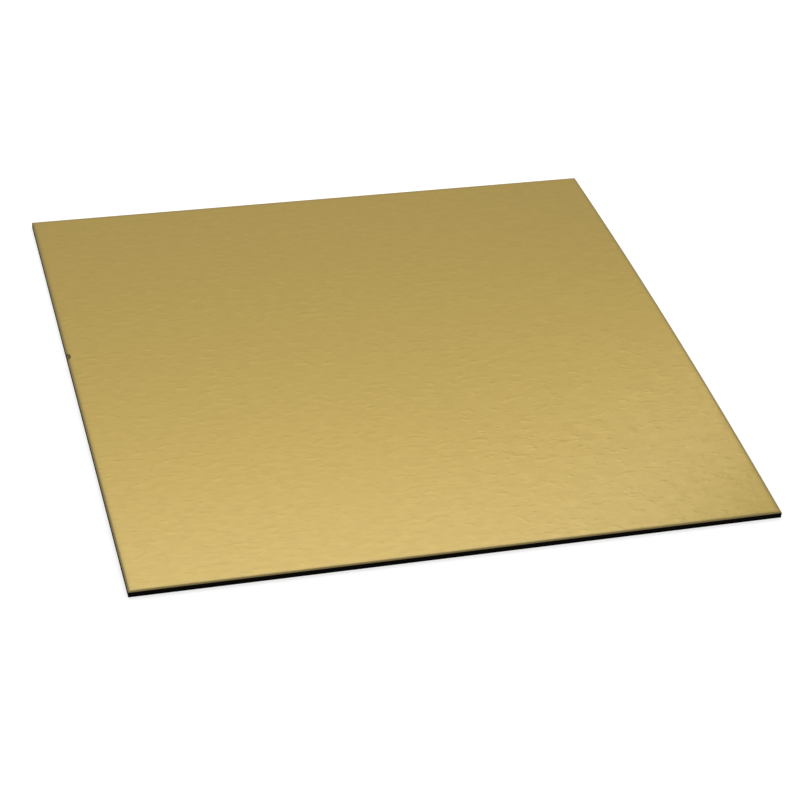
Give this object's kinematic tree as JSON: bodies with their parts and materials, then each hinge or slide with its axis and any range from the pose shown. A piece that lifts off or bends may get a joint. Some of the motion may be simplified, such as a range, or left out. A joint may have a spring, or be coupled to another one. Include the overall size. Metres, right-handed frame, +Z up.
{
  "type": "square cake board",
  "caption": "Thin square cake board of solid card, gold foil on top and black underneath, with a pressed top edge and one side slightly arched.",
  "frame": {"origin": "on the table, under the middle of the square", "axes": "+Z up out of the gold face, +X to the right towards the arched edge, +Y from the front edge to the back edge"},
  "size_m": [0.28, 0.28, 0.0059],
  "materials": {
    "gold_foil_card": "satin"
  },
  "bodies": {
    "root": {"cake_board": "gold_foil_card"}
  },
  "joints": []
}
